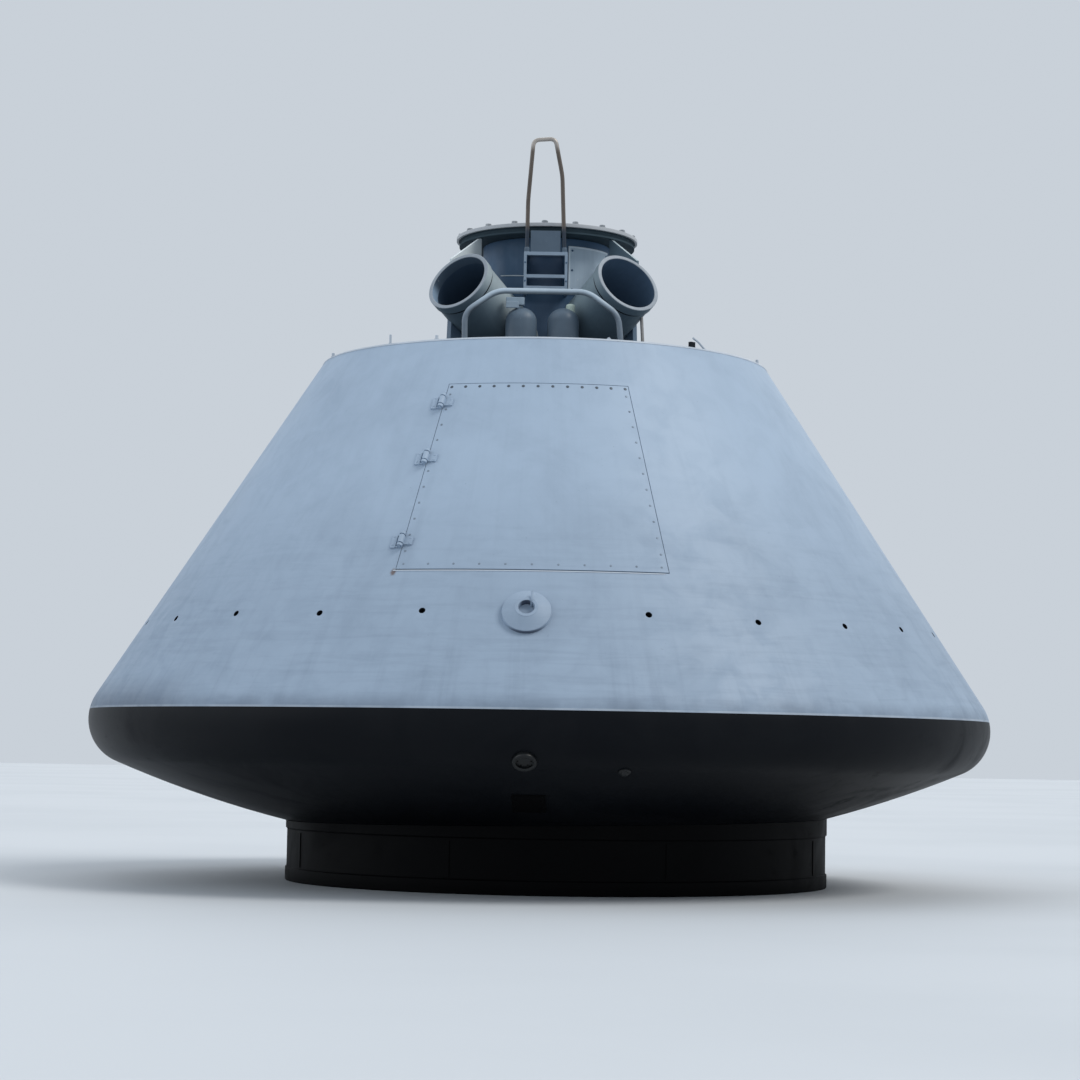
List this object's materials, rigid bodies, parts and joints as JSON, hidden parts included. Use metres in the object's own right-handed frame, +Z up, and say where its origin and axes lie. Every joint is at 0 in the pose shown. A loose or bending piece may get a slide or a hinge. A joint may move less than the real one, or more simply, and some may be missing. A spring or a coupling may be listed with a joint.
{
  "type": "conical crew space capsule on a round display plinth",
  "caption": "Blunt conical crew capsule with a hinged side door, a bolted tunnel with slanted tubes and a lifting loop on top, standing on a low round plinth.",
  "frame": {"origin": "on the floor, on the capsule's axis", "axes": "+Z up along the capsule's axis; the front with the crew door faces -Y; +X is to the right of it"},
  "size_m": [3.912, 3.912, 3.2078],
  "materials": {
    "plinth": "matt black paint, worn",
    "shield": "matt black paint, weathered",
    "shell": "pale blue-grey paint, satin, weathered",
    "door": "pale blue-grey paint, satin, weathered",
    "cabin": "grey primer, matt",
    "tower": "blue-grey paint, satin, weathered",
    "pale": "pale blue-grey paint, satin, weathered",
    "canister": "blue-grey paint, satin, weathered",
    "bar": "bare weathered steel"
  },
  "bodies": {
    "capsule": {"plinth_drum": "plinth", "shield_dish": "shield", "shield_port": "shield", "shield_fitting": "shield", "shield_cover": "shield", "shell_right_front": "shell", "shell_right_rear": "shell", "shell_left_rear": "shell", "shell_left_front": "shell", "shell_under_door": "shell", "shell_over_door": "shell", "upper_deck": "shell", "round_port": "shell", "hinge_base_1": "shell", "hinge_base_2": "shell", "hinge_base_3": "shell", "cabin_floor": "cabin", "tunnel_wall": "tower", "tunnel_ring": "tower", "tunnel_cover": "tower", "tube_left": "tower", "tube_right": "tower", "brace_left": "tower", "brace_right": "tower", "stand_left": "tower", "stand_right": "tower", "gusset_left": "tower", "gusset_right": "tower", "stay_rod": "tower", "wall_panel": "pale", "guard_hoop": "pale", "loop_bracket": "pale", "canister_left": "canister", "canister_right": "canister", "lifting_loop": "bar"},
    "door": {"door_panel": "door", "hinge_leaf_1": "door", "hinge_leaf_2": "door", "hinge_leaf_3": "door"}
  },
  "joints": [
    {"name": "door_swing", "type": "hinge", "parent": "capsule", "child": "door", "pos_m": [-0.46719, -1.25255, 1.72613], "axis": [-0.1893, -0.5076, -0.8406], "range_deg": [0, 110]}
  ]
}
